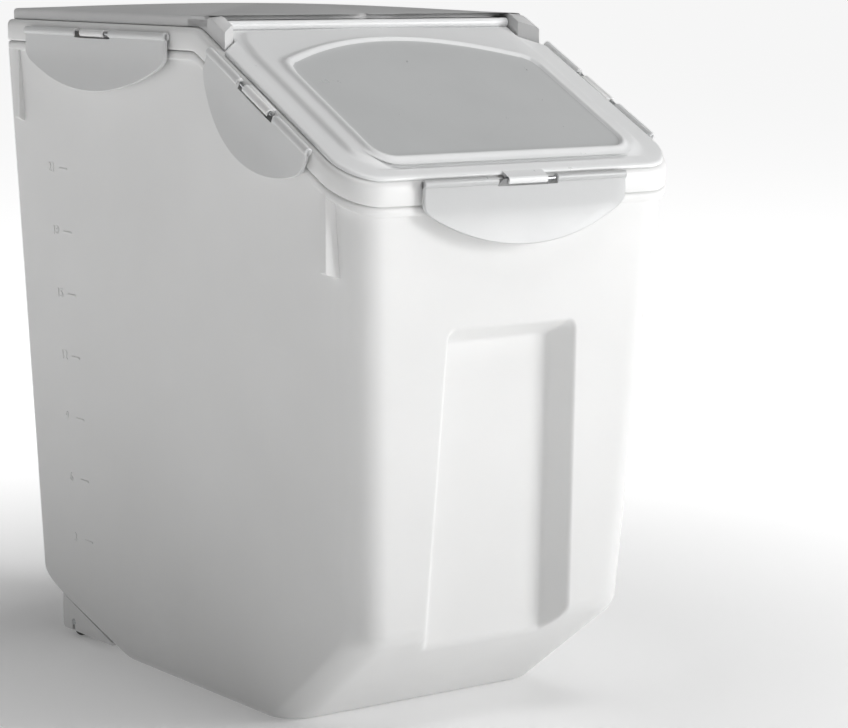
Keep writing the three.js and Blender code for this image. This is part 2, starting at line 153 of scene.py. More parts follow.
def make_object(name, bm, material, smooth_angle=35.0):
    bmesh.ops.recalc_face_normals(bm, faces=bm.faces)
    mesh = bpy.data.meshes.new(name)
    bm.to_mesh(mesh)
    bm.free()
    mesh.transform(Matrix.Scale(MM, 4))
    obj = bpy.data.objects.new(name, mesh)
    bpy.context.scene.collection.objects.link(obj)
    mesh.materials.append(material)
    mesh.shade_smooth()
    mesh.set_sharp_from_angle(angle=math.radians(smooth_angle))
    return obj


def loft(bm, rings, closed_profile=False):
    """Joins rings of equal length with quads, and caps both ends unless the profile closes on itself."""
    rows = [[bm.verts.new(p) for p in ring] for ring in rings]
    pairs = list(zip(rows, rows[1:]))
    if closed_profile:
        pairs.append((rows[-1], rows[0]))
    n = len(rows[0])
    for low, high in pairs:
        for i in range(n):
            j = (i + 1) % n
            bm.faces.new((low[i], low[j], high[j], high[i]))
    if not closed_profile:
        bm.faces.new(list(reversed(rows[0])))
        bm.faces.new(rows[-1])


def corner_arc(cx, cy, r, start, steps):
    """Points of a quarter turn, both ends included."""
    angles = [start + math.pi / 2 * i / steps for i in range(steps + 1)]
    return [(cx + r * math.cos(a), cy + r * math.sin(a)) for a in angles]


def side_stations(front, back, steps):
    """Positions along a side, closer together around the ridge."""
    inner = [RIDGE_Y + BEND * (k / 3.0) for k in range(-4, 5)]
    lower = [lerp(front, inner[0], k / steps) for k in range(1, steps)]
    upper = [lerp(inner[-1], back, k / (2 * steps)) for k in range(1, 2 * steps)]
    return lower + inner + upper


SIDE_STEPS = 14
CORNER_STEPS = 12
BACK_STEPS = 16
LEAST_RADIUS = 0.4


def back_edge(reach, y):
    """Points between the two rear corners, right to left."""
    return [(lerp(reach, -reach, k / BACK_STEPS), y) for k in range(1, BACK_STEPS)]


def rounded_outline(half, front, back, radius, front_u):
    """A rounded rectangle, counter-clockwise; front_u are the front edge's places, -1 to 1."""
    r = max(radius, LEAST_RADIUS)
    points = []
    points += corner_arc(-half + r, front + r, r, math.pi, CORNER_STEPS)
    points += [(u * (half - r), front) for u in front_u]
    points += corner_arc(half - r, front + r, r, 1.5 * math.pi, CORNER_STEPS)
    sides = side_stations(front + r, back - r, SIDE_STEPS)
    points += [(half, y) for y in sides]
    points += corner_arc(half - r, back - r, r, 0.0, CORNER_STEPS)
    points += back_edge(half - r, back)
    points += corner_arc(-half + r, back - r, r, 0.5 * math.pi, CORNER_STEPS)
    points += [(-half, y) for y in reversed(sides)]
    return points


PLAIN_FRONT = [lerp(-1, 1, k / 24) for k in range(1, 24)]


def lid_ring(inset, rise, front_u=PLAIN_FRONT):
    """A ring on the lid's outline, brought in by inset and standing rise above the rim line."""
    outline = rounded_outline(
        LID_HALF - inset, LID_FRONT + inset, LID_BACK - inset, LID_CORNER - inset, front_u
    )
    return [Vector((x, y, rim(y) + rise)) for x, y in outline]


def rounded_box(bm, low, high, bevel, matrix=None):
    """A box with rounded edges added to bm."""
    size = [high[i] - low[i] for i in range(3)]
    centre = [(high[i] + low[i]) / 2 for i in range(3)]
    place = Matrix.Translation(centre) @ Matrix.Diagonal((*size, 1))
    made = bmesh.ops.create_cube(bm, size=1.0, matrix=place)
    verts = made["verts"]
    edges = list({e for v in verts for e in v.link_edges})
    result = bmesh.ops.bevel(
        bm, geom=edges, offset=bevel, segments=2, profile=0.5, affect="EDGES", clamp_overlap=True
    )
    if matrix is not None:
        moved = {v for f in result["faces"] for v in f.verts} | {v for v in verts if v.is_valid}
        bmesh.ops.transform(bm, matrix=matrix, verts=list(moved))


def tube(bm, start, end, radius, segments=28, bore=0.0, chamfer=0.3):
    """A rod, or a sleeve where bore is over zero, between two points."""
    start = Vector(start)
    end = Vector(end)
    axis = (end - start).normalized()
    side = axis.orthogonal().normalized()
    other = axis.cross(side)
    length = (end - start).length

    angles = [2 * math.pi * i / segments for i in range(segments)]

    def ring(r, d):
        return [start + axis * d + (side * math.cos(a) + other * math.sin(a)) * r for a in angles]

    outside = [ring(radius - chamfer, 0), ring(radius, chamfer), ring(radius, length - chamfer),
               ring(radius - chamfer, length)]
    if bore > 0:
        inside = [ring(bore, length), ring(bore, 0)]
        loft(bm, outside + inside, closed_profile=True)
    else:
        loft(bm, outside)


# ---------------------------------------------------------------- materials

PLASTIC_IOR = 1.49


def new_material(name):
    material = bpy.data.materials.new(name)
    material.use_nodes = True
    nodes = material.node_tree.nodes
    return material, nodes, material.node_tree.links, nodes["Principled BSDF"]


def add_noise(nodes, links, scale, detail=4.0, roughness=0.5):
    coordinates = nodes.new("ShaderNodeTexCoord")
    noise = nodes.new("ShaderNodeTexNoise")
    noise.inputs["Scale"].default_value = scale
    noise.inputs["Detail"].default_value = detail
    noise.inputs["Roughness"].default_value = roughness
    links.new(coordinates.outputs["Object"], noise.inputs["Vector"])
    return noise


def ramp(nodes, links, source, low, high, from_low=0.3, from_high=0.7):
    """Maps a factor to a range of values."""
    node = nodes.new("ShaderNodeMapRange")
    node.inputs["From Min"].default_value = from_low
    node.inputs["From Max"].default_value = from_high
    node.inputs["To Min"].default_value = low
    node.inputs["To Max"].default_value = high
    links.new(source, node.inputs["Value"])
    return node


def tint(nodes, links, source, dark, light, shader):
    """Base colour that drifts slightly between two tones."""
    mix = nodes.new("ShaderNodeMix")
    mix.data_type = "RGBA"
    mix.inputs["A"].default_value = (*dark, 1)
    mix.inputs["B"].default_value = (*light, 1)
    links.new(source, mix.inputs["Factor"])
    links.new(mix.outputs["Result"], shader.inputs["Base Color"])


def mottle(nodes, links, noise, dark, light, shader):
    """Base colour that follows a noise between two tones."""
    factor = ramp(nodes, links, noise.outputs["Fac"], 0, 1)
    tint(nodes, links, factor.outputs["Result"], dark, light, shader)


def wear(nodes, links, noise, low, high, shader):
    """Roughness that follows a noise between two values."""
    rough = ramp(nodes, links, noise.outputs["Fac"], low, high)
    links.new(rough.outputs["Result"], shader.inputs["Roughness"])


def grain(nodes, links, shader, fine_scale, fine_height, wave_scale, wave_height):
    """Spark-eroded mould grain over the long, slow waviness of a large moulding."""
    fine = add_noise(nodes, links, fine_scale, 3.0, 0.6)
    slow = add_noise(nodes, links, wave_scale, 1.0, 0.3)
    wave = nodes.new("ShaderNodeBump")
    wave.inputs["Distance"].default_value = wave_height
    wave.inputs["Strength"].default_value = 0.5
    links.new(slow.outputs["Fac"], wave.inputs["Height"])
    bump = nodes.new("ShaderNodeBump")
    bump.inputs["Distance"].default_value = fine_height
    bump.inputs["Strength"].default_value = 0.35
    links.new(fine.outputs["Fac"], bump.inputs["Height"])
    links.new(wave.outputs["Normal"], bump.inputs["Normal"])
    links.new(bump.outputs["Normal"], shader.inputs["Normal"])


def moulded_plastic(name, dark, light, rough_low, rough_high, subsurface=0.12):
    material, nodes, links, shader = new_material(name)
    cloud = add_noise(nodes, links, 9.0, 3.0)
    mottle(nodes, links, cloud, dark, light, shader)
    handling = add_noise(nodes, links, 38.0, 6.0, 0.65)
    wear(nodes, links, handling, rough_low, rough_high, shader)
    grain(nodes, links, shader, 1400.0, 0.000015, 14.0, 0.0004)
    shader.inputs["IOR"].default_value = PLASTIC_IOR
    shader.inputs["Subsurface Weight"].default_value = subsurface
    shader.inputs["Subsurface Radius"].default_value = (1.0, 0.95, 0.9)
    shader.inputs["Subsurface Scale"].default_value = 0.0015
    return material


def clear_plastic(name, transmission, dark, light):
    """Frosted clear moulding; a thick or backed part passes less light than the thin window. The window's
    copy is made with a darker base colour as painted shade, standing for the dark inside of the bin seen
    through it.
    """
    material, nodes, links, shader = new_material(name)
    cloud = add_noise(nodes, links, 16.0, 3.0)
    mottle(nodes, links, cloud, dark, light, shader)
    handling = add_noise(nodes, links, 60.0, 6.0, 0.7)
    wear(nodes, links, handling, 0.27, 0.36, shader)
    grain(nodes, links, shader, 500.0, 0.000004, 18.0, 0.0003)
    shader.inputs["IOR"].default_value = PLASTIC_IOR
    shader.inputs["Transmission Weight"].default_value = transmission
    return material


def silicone_rubber(name):
    material, nodes, links, shader = new_material(name)
    cloud = add_noise(nodes, links, 30.0, 3.0)
    mottle(nodes, links, cloud, (0.62, 0.63, 0.62), (0.7, 0.71, 0.7), shader)
    dust = add_noise(nodes, links, 220.0, 5.0, 0.7)
    wear(nodes, links, dust, 0.5, 0.75, shader)
    grain(nodes, links, shader, 900.0, 0.00003, 40.0, 0.0002)
    shader.inputs["Subsurface Weight"].default_value = 0.3
    shader.inputs["Subsurface Scale"].default_value = 0.002
    return material


def black_wheel_plastic(name):
    material, nodes, links, shader = new_material(name)
    scuff = add_noise(nodes, links, 160.0, 6.0, 0.7)
    mottle(nodes, links, scuff, (0.012, 0.012, 0.013), (0.035, 0.035, 0.036), shader)
    wear(nodes, links, scuff, 0.42, 0.68, shader)
    grain(nodes, links, shader, 1200.0, 0.00005, 60.0, 0.0001)
    return material


def drawn_steel(name):
    material, nodes, links, shader = new_material(name)
    shader.inputs["Metallic"].default_value = 1.0
    coordinates = nodes.new("ShaderNodeTexCoord")
    stretch = nodes.new("ShaderNodeMapping")
    stretch.inputs["Scale"].default_value = (40.0, 900.0, 900.0)
    lines = nodes.new("ShaderNodeTexNoise")
    lines.inputs["Scale"].default_value = 3.0
    lines.inputs["Detail"].default_value = 4.0
    links.new(coordinates.outputs["Object"], stretch.inputs["Vector"])
    links.new(stretch.outputs["Vector"], lines.inputs["Vector"])
    tint(nodes, links, lines.outputs["Fac"], (0.42, 0.43, 0.44), (0.6, 0.61, 0.62), shader)
    wear(nodes, links, lines, 0.22, 0.42, shader)
    bump = nodes.new("ShaderNodeBump")
    bump.inputs["Distance"].default_value = 0.00003
    bump.inputs["Strength"].default_value = 0.4
    links.new(lines.outputs["Fac"], bump.inputs["Height"])
    links.new(bump.outputs["Normal"], shader.inputs["Normal"])
    return material


bin_white = moulded_plastic("bin_white_plastic", (0.8, 0.8, 0.795), (0.84, 0.84, 0.835), 0.4, 0.5)
lid_white = moulded_plastic("lid_white_plastic", (0.81, 0.81, 0.805), (0.85, 0.85, 0.845), 0.32, 0.42)
cover_white = moulded_plastic("cover_white_plastic", (0.66, 0.66, 0.66), (0.7, 0.7, 0.7), 0.38, 0.5)
latch_white = moulded_plastic(
    "latch_plastic", (0.69, 0.695, 0.695), (0.73, 0.735, 0.735), 0.38, 0.46, subsurface=0.25
)
clear = clear_plastic("clear_plastic", 0.12, (0.92, 0.926, 0.928), (0.95, 0.955, 0.956))
# The window's copy of the clear plastic: its darker base colour is painted shade for the shaded inside of
# the bin behind the window.
window_painted_shade = clear_plastic("window_clear_painted_shade", 0.18, (0.68, 0.69, 0.69), (0.72, 0.73, 0.73))
clear_latch = clear_plastic("clear_latch_plastic", 0.4, (0.76, 0.768, 0.77), (0.8, 0.806, 0.807))
silicone = silicone_rubber("silicone")
wheel_black = black_wheel_plastic("wheel_black_plastic")
steel = drawn_steel("pin_steel")


# ---------------------------------------------------------------- bin body

def recess_half(z):
    return lerp(RECESS_LOW_HALF, RECESS_TOP_HALF, (z - RECESS_LOW_Z) / (RECESS_TOP - RECESS_LOW_Z))


def recess_depth(u, z):
    """Depth of the front recess; u is x on a scale that keeps the recess's top width."""
    dx = abs(u) - (RECESS_TOP_HALF - RECESS_CORNER)
    dz = z - (RECESS_TOP - RECESS_CORNER)
    outside = math.hypot(max(dx, 0.0), max(dz, 0.0))
    distance = RECESS_CORNER - outside - min(max(dx, dz), 0.0)
    t = distance / RECESS_DRAFT
    fillet = RECESS_FILLET
    if t <= -fillet:
        return 0.0
    if t < fillet:
        return RECESS_DEPTH * (t + fillet) ** 2 / (4 * fillet)
    if t < 1 - fillet:
        return RECESS_DEPTH * t
    if t < 1 + fillet:
        return RECESS_DEPTH * (1 - (1 + fillet - t) ** 2 / (4 * fillet))
    return RECESS_DEPTH


def front_columns():
    """Places across the front wall, in the recess's own scale, close together at its edges."""
    edge = RECESS_TOP_HALF
    floor = edge - RECESS_DRAFT
    half = [floor * k / 9 for k in range(9)]
    half += [lerp(floor - 2.2, edge + 1.8, k / 18) for k in range(19)]
    half += [lerp(edge + 3.5, 80.0, k / 9) for k in range(10)]
    return [-u for u in reversed(half[1:])] + half


COLUMNS = front_columns()
COLUMN_SPAN = COLUMNS[-1] + 3.0
SPREAD_START = 50.0


def body_ring(z, inset, shrink=0.0):
    """One level of the bin's wall; outside the recess the front columns spread to the corners."""
    half = FLOOR_HALF + SIDE_LEAN * z - inset - shrink
    chamfer_run = FRONT_CHAMFER_FOOT - (FLOOR_FRONT - FRONT_LEAN * FRONT_CHAMFER_TOP)
    chamfer = FRONT_CHAMFER_FOOT - chamfer_run * z / FRONT_CHAMFER_TOP + inset * 1.25
    rear_chamfer_run = FLOOR_BACK - REAR_CHAMFER_FOOT
    rear_chamfer = REAR_CHAMFER_FOOT + rear_chamfer_run * z / REAR_CHAMFER_TOP - inset * 3.2
    front_wall = FLOOR_FRONT - FRONT_LEAN * z + inset
    back_wall = FLOOR_BACK + BACK_LEAN * z - inset
    front = smooth_max(front_wall, chamfer, FRONT_BLEND) + shrink
    back = -smooth_max(-back_wall, -rear_chamfer, REAR_BLEND) - shrink
    r = BODY_CORNER + 0.008 * z - inset
    rear_r = REAR_CORNER + 0.016 * z - inset
    straight = half - r
    outline = []
    outline += corner_arc(-half + r, front + r, r, math.pi, CORNER_STEPS)
    for u in COLUMNS:
        x_recess = u * recess_half(z) / RECESS_TOP_HALF
        edge_share = smoothstep((abs(u) - SPREAD_START) / (COLUMN_SPAN - SPREAD_START))
        x = lerp(x_recess, math.copysign(straight, u) * abs(u) / COLUMN_SPAN, edge_share)
        depth = recess_depth(u, z)
        blend = lerp(FRONT_BLEND, RECESS_BLEND, smoothstep(depth / 4.0))
        outline.append((x, smooth_max(front_wall + depth, chamfer, blend) + shrink))
    outline += corner_arc(half - r, front + r, r, 1.5 * math.pi, CORNER_STEPS)
    sides = side_stations(front + r, back - rear_r, SIDE_STEPS)
    outline += [(half, y) for y in sides]
    outline += corner_arc(half - rear_r, back - rear_r, rear_r, 0.0, CORNER_STEPS)
    outline += back_edge(half - rear_r, back)
    outline += corner_arc(-half + rear_r, back - rear_r, rear_r, 0.5 * math.pi, CORNER_STEPS)
    outline += [(-half, y) for y in reversed(sides)]
    return [Vector((x, y, z)) for x, y in outline]


def lip_ring(half, rise):
    """A ring of the lip, in the same columns as the wall."""
    inset = LID_HALF - half
    front_u = [u / COLUMN_SPAN for u in COLUMNS]
    return lid_ring(inset, rise, front_u)


LAST_LEVEL = 264.0
RISE_STEPS = 14


def wall_levels():
    """Heights of the level rings, closer together in the recess's top edge and the chamfers."""
    levels = [3.0, 5.0, 8.0]
    levels += [lerp(10.0, 76.0, k / 40) for k in range(41)]
    levels += [lerp(80.0, 222.0, k / 20) for k in range(21)]
    levels += [lerp(225.0, 243.0, k / 20) for k in range(21)]
    levels += [248.0, 256.0, LAST_LEVEL]
    return levels


def rising_rings(inset, rise_end):
    """Rings that turn gradually from level into the bent rim line."""
    rings = []
    start = LAST_LEVEL
    low = body_ring(start, inset)
    for k in range(1, RISE_STEPS + 1):
        t = k / RISE_STEPS
        ring = []
        for point in low:
            top = rim(point.y) + rise_end
            z = lerp(start, top, t)
            grow = z - start
            x = point.x + math.copysign(SIDE_LEAN * grow, point.x) * min(1.0, abs(point.x) / 90.0)
            y = point.y - FRONT_LEAN * grow if point.y < LID_FRONT + 40 else point.y
            ring.append(Vector((x, y, z)))
        rings.append(ring)
    return rings


def bin_body():
    bm = bmesh.new()
    rings = [body_ring(z, 0.0, shrink) for z, shrink in ((0.0, 2.6), (0.35, 1.2), (1.3, 0.35))]
    rings += [body_ring(z, 0.0) for z in wall_levels()]
    rings += rising_rings(0.0, -LIP_HEIGHT)
    rings += [
        lip_ring(LIP_HALF - 0.9, -LIP_HEIGHT),
        lip_ring(LIP_HALF - 0.25, -LIP_HEIGHT + 0.25),
        lip_ring(LIP_HALF, -LIP_HEIGHT + 0.9),
        lip_ring(LIP_HALF, -GAP - 1.6),
        lip_ring(LIP_HALF - 0.2, -GAP - 0.8),
        lip_ring(LIP_HALF - 0.8, -GAP - 0.25),
        lip_ring(LIP_HALF - 1.7, -GAP),
    ]
    rings += reversed(rising_rings(WALL, -GAP))
    rings += [body_ring(z, WALL) for z in reversed(wall_levels()) if z > WALL]
    rings.append(body_ring(WALL, WALL, shrink=2.0))
    loft(bm, rings)
    return make_object("bin_shell", bm, bin_white, 60.0)


def wall_x(z):
    return FLOOR_HALF + SIDE_LEAN * z


GUSSETS = ((-174.5, 274.5), (175.5, 342.0))
GUSSET_HALF = 2.75


def gussets():
    """Ribs under the lip at both ends of each side."""
    bm = bmesh.new()
    half = GUSSET_HALF
    for side in (-1, 1):
        for y, foot in GUSSETS:
            profile = [
                (wall_x(foot) - 1.5, foot - 3.0),
                (LIP_HALF - 1.0, foot - 0.3),
                (LIP_HALF - GAP, foot + 0.7),
                (LIP_HALF - GAP, rim(y) - 3.5),
                (wall_x(foot) - 1.5, rim(y) - 3.5),
            ]
            rings = []
            for offset, drop in ((-half, 0.5), (-half + 0.5, 0.0), (half - 0.5, 0.0), (half, 0.5)):
                rings.append([
                    Vector((side * (px - (drop if px > LIP_HALF - 3 else 0)), y + offset, pz))
                    for px, pz in profile
                ])
            loft(bm, rings)
    return make_object("lip_gussets", bm, bin_white, 30.0)


CHEEK_START = 105.0
CHEEK_END = 169.5
CHEEK_FOOT = 4.3
CHEEK_CORNER = 3.0
CHEEK_SINK = 1.2


def cheek_top(y):
    """Just inside the rear chamfer."""
    slope = (y - REAR_CHAMFER_FOOT) * REAR_CHAMFER_TOP / (FLOOR_BACK - REAR_CHAMFER_FOOT)
    return slope + CHEEK_SINK


def wheel_cheeks():
    """The plates that carry the axles, with a keyhole open at the bottom."""
    bm = bmesh.new()
    inner = WHEEL_X - WHEEL_WIDTH / 2 - 0.8
    outer = WHEEL_X + WHEEL_WIDTH / 2 + 0.8
    thick = 3.0
    bore = 2.3
    slot = 1.7
    keyhole = []
    first = math.asin(slot / bore) - math.pi / 2
    turn = 2 * math.pi - 2 * math.asin(slot / bore)
    for k in range(25):
        a = first + turn * k / 24
        keyhole.append((WHEEL_Y + bore * math.cos(a), WHEEL_Z + bore * math.sin(a)))
    outline = [(CHEEK_START, CHEEK_FOOT), (WHEEL_Y - slot, CHEEK_FOOT)]
    outline += list(reversed(keyhole))
    outline += [(WHEEL_Y + slot, CHEEK_FOOT), (CHEEK_END - CHEEK_CORNER, CHEEK_FOOT)]
    for k in range(1, 6):
        a = math.pi / 2 * k / 5
        outline.append((
            CHEEK_END - CHEEK_CORNER + CHEEK_CORNER * math.sin(a),
            CHEEK_FOOT + CHEEK_CORNER - CHEEK_CORNER * math.cos(a),
        ))
    outline += [(CHEEK_END, cheek_top(CHEEK_END)), (CHEEK_START, cheek_top(CHEEK_START))]
    for x0 in (inner - thick, outer, -outer - thick, -inner):
        rings = [[Vector((x, y, z)) for y, z in outline] for x in (x0, x0 + thick)]
        loft(bm, rings)
    return make_object("wheel_cheeks", bm, bin_white, 30.0)


FIRST_MARK = 69.5
MARK_STEP = 40.4
MARK_LITRES = 3
MARKS = 7


def level_marks():
    """Raised fill marks on the left wall, each with its figure in litres."""
    bm = bmesh.new()
    pieces = []
    lean = -math.atan(SIDE_LEAN)
    upright = Matrix(((0, 0, -1, 0), (-1, 0, 0, 0), (0, 1, 0, 0), (0, 0, 0, 1)))
    tilt = Matrix.Rotation(lean, 4, "Y")
    for i in range(MARKS):
        z = FIRST_MARK + MARK_STEP * i
        x = -wall_x(z)
        rounded_box(bm, (x - 0.5, 121.5, z - 0.7), (x + 0.6, 131.5, z + 0.7), 0.25)
        text = bpy.data.curves.new(f"fill_figure_{i + 1}", "FONT")
        text.body = str(MARK_LITRES * (i + 1))
        text.size = 8.5 * MM
        text.extrude = 0.4 * MM
        text.align_x = "LEFT"
        text.align_y = "CENTER"
        label = bpy.data.objects.new(f"fill_figure_{i + 1}", text)
        bpy.context.scene.collection.objects.link(label)
        place = Matrix.Translation((x * MM, 146.0 * MM, z * MM))
        label.matrix_world = place @ tilt @ upright
        text.materials.append(bin_white)
        pieces.append(label)
    pieces.append(make_object("fill_marks", bm, bin_white, 30.0))
    return pieces


# ---------------------------------------------------------------- main lid

LID_WALL = 2.8
PLUG_INSET = 4.4
DECK_HALF = 105.5
DECK_END_HALF = 98.0


def lid_frame():
    bm = bmesh.new()
    wall = LID_WALL
    deck_under = SKIRT - LID_WALL
    profile = [
        (wall, 0.4), (wall - 0.4, 0.0), (1.5, 0.0), (0.7, 0.2), (0.2, 0.7), (0.0, 1.5),
        (0.0, 9.6), (0.25, 11.2), (0.95, 12.5), (2.1, 13.25), (3.6, SKIRT), (9.0, SKIRT),
        (15.0, SKIRT), (15.4, SKIRT - 0.4), (15.4, deck_under + 0.4), (15.0, deck_under),
        (wall + 1.0, deck_under), (wall, deck_under - 1.0),
    ]
    loft(bm, [lid_ring(inset, rise) for inset, rise in profile], closed_profile=True)
    plug = [
        (8.4, deck_under + 0.2), (8.4, -7.2), (6.4, -7.4), (6.2, -7.9), (6.4, -8.8), (7.0, -9.0),
        (9.8, -9.0), (10.4, -8.6), (10.4, deck_under + 0.2),
    ]
    loft(bm, [lid_ring(inset + plug_lean(rise), rise) for inset, rise in plug], closed_profile=True)
    deck_bar(bm, -81.0, -22.0)
    for side in (-1, 1):
        deck_side(bm, side, -22.0, 184.0, 98.0)
        deck_side(bm, side, -178.0, -81.0, 92.0)
    deck_end(bm, -190.0, -178.0)
    deck_end(bm, 184.0, 192.0)
    for latch_frame in side_latch_stations():
        lug(bm, latch_frame)
    return make_object("lid_frame_shell", bm, lid_white, 32.0)


def plug_lean(rise):
    """How far the plug ring stands further in; a little more at its foot."""
    return PLUG_INSET * (0.35 if rise > -8 else 0.5)


def plate_section(x0, x1, y, under, top):
    """A plate's rectangular section across the lid."""
    return [Vector((x, y, z)) for x, z in ((x0, under), (x1, under), (x1, top), (x0, top))]


def deck_patch(bm, x0, x1, y0, y1):
    """A plate of the lid frame's deck, bent at the ridge."""
    bends = [RIDGE_Y + BEND * k / 2 for k in range(-2, 3)]
    ys = [y0] + [y for y in bends if y0 < y < y1] + [y1]
    top = SKIRT - 0.02
    under = SKIRT - 2.7
    rings = []
    for y in ys:
        z = rim(y)
        rings.append(plate_section(x0, x1, y, z + under, z + top))
    loft(bm, rings)


def deck_bar(bm, y0, y1):
    deck_patch(bm, -DECK_HALF, DECK_HALF, y0, y1)


def deck_side(bm, side, y0, y1, opening_half):
    x0, x1 = sorted((side * opening_half, side * DECK_HALF))
    deck_patch(bm, x0, x1, y0 - 0.5, y1 + 0.5)


def deck_end(bm, y0, y1):
    deck_patch(bm, -DECK_END_HALF, DECK_END_HALF, y0, y1)


def station(origin, up, outward):
    """A latch's own frame: along the rail, up, outward."""
    along = up.cross(outward)
    m = Matrix.Identity(4)
    for i in range(3):
        m[i][0] = along[i]
        m[i][1] = up[i]
        m[i][2] = outward[i]
        m[i][3] = origin[i]
    return m


LEVEL_UP = Vector((0, 0, 1))
SLOPE_UP = Vector((0, -math.sin(SLOPE_ANGLE), math.cos(SLOPE_ANGLE)))
REAR_LATCH = {"half": 85.5, "pin": 7.5, "below": 27.7, "end": 8.0}
SLOPE_LATCH = {"half": 57.0, "pin": 11.0, "below": 26.3, "end": 2.5}
FRONT_LATCH = {"half": 72.0, "pin": 12.0, "below": 24.0, "end": 3.0}
REAR_LATCH_Y = 68.5
SLOPE_LATCH_ALONG = 76.0


def rear_station(side):
    origin = Vector((side * (LID_HALF + LATCH_STANDOFF), REAR_LATCH_Y, RIM_REAR + REAR_LATCH["pin"]))
    return station(origin, LEVEL_UP, Vector((side, 0, 0)))


def slope_station(side):
    on_rim = Vector((0, RIDGE_Y - SLOPE_LATCH_ALONG * math.cos(SLOPE_ANGLE),
                     RIM_REAR - SLOPE_LATCH_ALONG * math.sin(SLOPE_ANGLE)))
    origin = on_rim + SLOPE_UP * SLOPE_LATCH["pin"]
    origin.x = side * (LID_HALF + LATCH_STANDOFF)
    return station(origin, SLOPE_UP, Vector((side, 0, 0)))


def front_station():
    origin = Vector((0, LID_FRONT - LATCH_STANDOFF, RIM_FRONT + FRONT_LATCH["pin"]))
    return station(origin, LEVEL_UP, Vector((0, -1, 0)))


def side_latch_stations():
    return [rear_station(-1), rear_station(1), slope_station(-1), slope_station(1)]


def lug_barrel(bm, m):
    """The eye that holds a latch's pin."""
    ends = [m @ Vector((x, 0, 0)) for x in (-LUG_HALF, LUG_HALF)]
    tube(bm, *ends, LATCH_BARREL - 0.1, 24, bore=1.4)


def lug(bm, m):
    """A latch's eye with the block that joins it to the lid's skirt."""
    lug_barrel(bm, m)
    rounded_box(bm, (-LUG_HALF, -2.2, -LATCH_STANDOFF - 1.0), (LUG_HALF, 2.1, -1.3), 0.4, m)


def lid_seal():
    bm = bmesh.new()
    profile = [(7.6, -2.6), (8.2, -3.2), (8.2, -6.4), (7.6, -6.8), (6.2, -6.6), (5.8, -6.0), (6.0, -4.8),
               (5.8, -3.4), (6.2, -2.8)]
    loft(bm, [lid_ring(inset + 1.6, rise) for inset, rise in profile], closed_profile=True)
    return make_object("lid_seal_ring", bm, silicone, 50.0)


def cover_height(x, y, drop=0.0):
    """The cover's domed top."""
    middle = (COVER_FRONT + COVER_BACK) / 2
    reach = (COVER_BACK - COVER_FRONT) / 2
    across = 1 - (x / COVER_HALF) ** 2
    along = 1 - ((y - middle) / reach) ** 2
    return COVER_EDGE - drop + COVER_DOME * max(0.0, across) ** 0.7 * max(0.0, along) ** 0.7


def cover_outline(inset):
    return rounded_outline(
        COVER_HALF - inset, COVER_FRONT + inset, COVER_BACK - inset, COVER_CORNER - inset, PLAIN_FRONT
    )


CROWN_INSETS = (5, 9, 14, 22, 32, 44, 58, 74, 90, 104, 112)


def rear_cover():
    bm = bmesh.new()
    floor = RIM_REAR + SKIRT + GAP
    wall = 2.5
    rings = []
    rings.append([Vector((x, y, floor)) for x, y in cover_outline(wall)])
    rings.append([Vector((x, y, floor)) for x, y in cover_outline(0.3)])
    rings.append([Vector((x, y, floor + 0.3)) for x, y in cover_outline(0.0)])
    for inset, drop in ((0.0, 2.2), (0.15, 1.3), (0.6, 0.6), (1.3, 0.15), (2.4, 0.0)):
        rings.append([Vector((x, y, cover_height(x, y, drop))) for x, y in cover_outline(inset)])
    for inset in CROWN_INSETS:
        rings.append([Vector((x, y, cover_height(x, y))) for x, y in cover_outline(inset)])
    inside = [[Vector((x, y, cover_height(x, y, wall))) for x, y in cover_outline(inset)]
              for inset in (*reversed(CROWN_INSETS), 3.4)]
    inside.append([Vector((x, y, cover_height(x, y, wall + 1.0))) for x, y in cover_outline(wall)])
    loft(bm, list(reversed(rings)) + list(reversed(inside)))
    for side in (-1, 1):
        cover_wing(bm, side)
    return make_object("rear_cover_shell", bm, cover_white, 32.0)


WING_STATIONS = (-28.0, -34.0, -38.0, -40.0, -42.5, -45.0, -47.5, -50.0, -52.5, -55.0)


def cover_wing(bm, side):
    """An arm of the cover that runs down the slope and ends in a slanting face."""
    outer = COVER_HALF
    edge = 1.2

    def section(y, stretch):
        under = rim(y) + SKIRT + GAP
        top = min(rim(y) + SKIRT + WING_RISE, COVER_EDGE)
        points = [
            (WING_INNER, under), (outer - 0.3, under), (outer, under + 0.3), (outer, top - edge),
            (outer - edge * 0.3, top - edge * 0.3), (outer - edge, top), (WING_INNER + edge, top),
            (WING_INNER + edge * 0.3, top - edge * 0.3), (WING_INNER, top - edge),
        ]
        ring = []
        for x, z in points:
            share = (x - WING_INNER) / (outer - WING_INNER)
            y_here = y - stretch * share
            dz = rim(y_here) - rim(y)
            ring.append(Vector((side * x, y_here, z + dz)))
        return ring

    rings = []
    for y in (*WING_STATIONS, WING_INNER_END):
        t = max(0.0, (RIDGE_Y - y) / (RIDGE_Y - WING_INNER_END))
        rings.append(section(y, (WING_INNER_END - WING_OUTER_END) * t))
    loft(bm, rings)


# ---------------------------------------------------------------- flip lid

HINGE_HALF = WING_INNER - 0.9
LID_PLATE_BACK = PIVOT_Y - 1.5
FLANGE = SKIRT + GAP
FLANGE_HALF = 117.0
FLANGE_FRONT = -197.5
CUT_INNER = WING_INNER_END - 1.1
CUT_OUTER = WING_OUTER_END - 3.7
STEP_HALF = 103.0
STEP_FRONT = -189.0
WINDOW_HALF = 88.0
WINDOW_TOP = -93.0
WINDOW_FRONT = -185.0
WINDOW_BOW = 20.0
FILLET_STEPS = 8
FLIP_COUNTS = (4, 4, 20, 24, 20, 4, 4, 30)


def fillet_reach(before, here, after, radius):
    """How far from a corner its fillet starts."""
    a = (before - here).normalized()
    b = (after - here).normalized()
    return radius / math.tan(a.angle(b) / 2)


